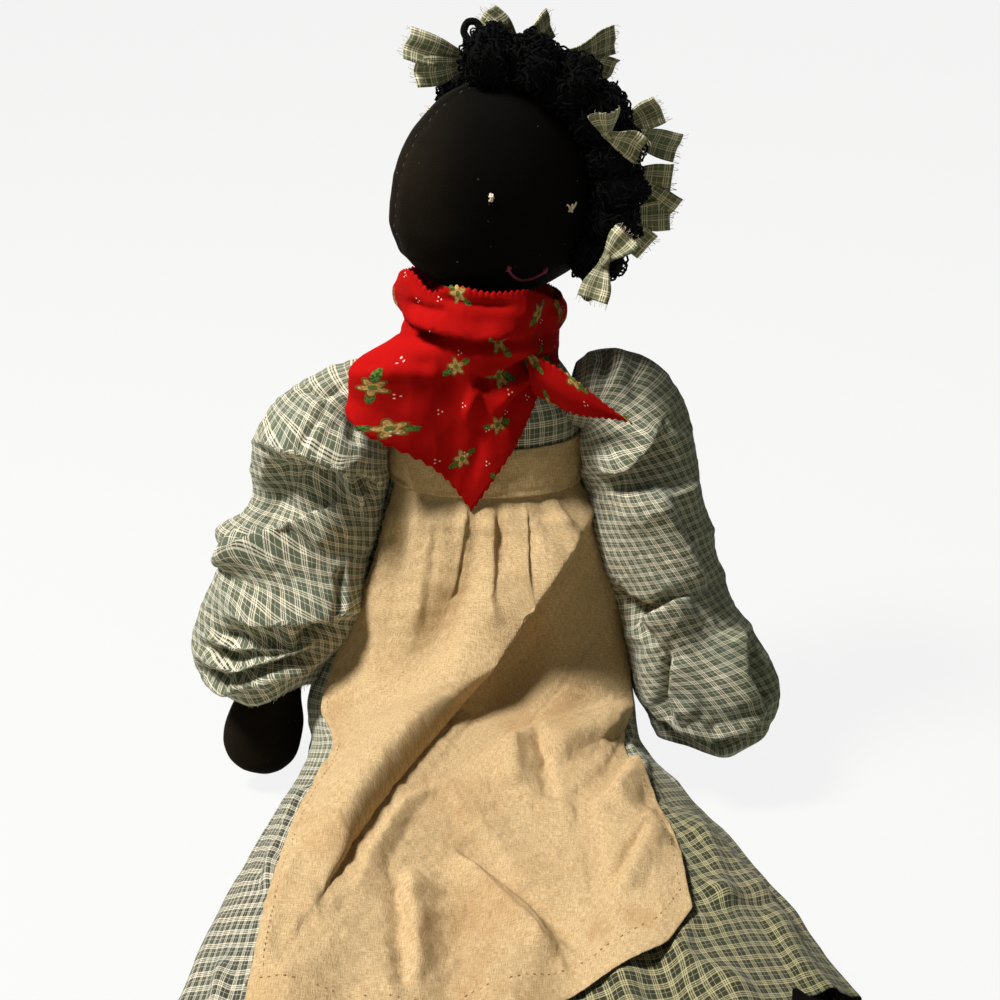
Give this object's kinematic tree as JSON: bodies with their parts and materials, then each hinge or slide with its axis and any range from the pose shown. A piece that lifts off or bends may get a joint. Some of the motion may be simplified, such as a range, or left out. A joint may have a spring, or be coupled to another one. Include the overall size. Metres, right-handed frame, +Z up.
{
  "type": "doll",
  "caption": "Seated stuffed cloth doll with yarn hair tied in rags, checked dress, gathered apron and pinked kerchief; head turns, arms lift and legs swing.",
  "frame": {"origin": "middle of the face the seated doll rests on, under the neck", "axes": "+Z up along the back and neck, -Y the way the doll faces, +X towards its left hand"},
  "size_m": [0.3862, 0.5594, 0.4828],
  "materials": {
    "black_cotton": "matte",
    "checked_cotton": "matte",
    "rag_cotton": "matte",
    "muslin": "matte",
    "red_cotton": "matte",
    "black_yarn": "matte",
    "cream_thread": "matte",
    "red_thread": "matte"
  },
  "bodies": {
    "torso": {"torso": "black_cotton", "dress_bodice": "checked_cotton", "skirt": "checked_cotton", "apron_waistband": "muslin", "apron_panel": "muslin", "apron_strings": "muslin", "kerchief": "red_cotton"},
    "head": {"head": "black_cotton", "right_eye": "cream_thread", "left_eye": "cream_thread", "mouth_stitches": "red_thread", "hair_bunch_1": "black_yarn", "hair_bunch_2": "black_yarn", "hair_bunch_3": "black_yarn", "hair_bunch_4": "black_yarn", "hair_bunch_5": "black_yarn", "hair_bunch_6": "black_yarn", "hair_bunch_7": "black_yarn", "hair_bunch_8": "black_yarn", "hair_bunch_9": "black_yarn", "hair_bunch_10": "black_yarn", "hair_bunch_11": "black_yarn", "hair_bunch_12": "black_yarn", "hair_bunch_13": "black_yarn", "rag_tie_1": "rag_cotton", "rag_tie_2": "rag_cotton", "rag_tie_3": "rag_cotton", "rag_tie_4": "rag_cotton", "rag_tie_5": "rag_cotton", "rag_tie_6": "rag_cotton", "rag_tie_7": "rag_cotton", "rag_tie_8": "rag_cotton", "rag_tie_9": "rag_cotton", "rag_tie_10": "rag_cotton", "rag_tie_11": "rag_cotton", "rag_tie_12": "rag_cotton", "rag_tie_13": "rag_cotton"},
    "right_arm": {"right_arm": "black_cotton", "right_sleeve": "checked_cotton"},
    "left_arm": {"left_arm": "black_cotton", "left_sleeve": "checked_cotton"},
    "right_leg": {"right_leg": "black_cotton"},
    "left_leg": {"left_leg": "black_cotton"}
  },
  "joints": [
    {"name": "neck_turn", "type": "hinge", "parent": "torso", "child": "head", "pos_m": [0, 0, 0.3], "axis": [0, 0, 1], "range_deg": [-35, 25], "stiffness_Nm_per_rad": 0.05},
    {"name": "right_shoulder_lift", "type": "hinge", "parent": "torso", "child": "right_arm", "pos_m": [-0.072, -0.005, 0.268], "axis": [0, 1, 0], "range_deg": [0, 75]},
    {"name": "left_shoulder_lift", "type": "hinge", "parent": "torso", "child": "left_arm", "pos_m": [0.072, -0.005, 0.268], "axis": [0, -1, 0], "range_deg": [0, 75]},
    {"name": "left_hip_swing", "type": "hinge", "parent": "torso", "child": "left_leg", "pos_m": [0.041, -0.042, 0.0104], "axis": [1, 0, 0], "range_deg": [-10, 75], "deforming": ["skirt", "apron_panel"]},
    {"name": "right_hip_swing", "type": "hinge", "parent": "torso", "child": "right_leg", "pos_m": [-0.041, -0.042, 0.0104], "axis": [1, 0, 0], "range_deg": [-10, 75]}
  ],
  "couplings": [
    {"joint": "right_hip_swing", "follows": "left_hip_swing", "ratio": 1}
  ]
}
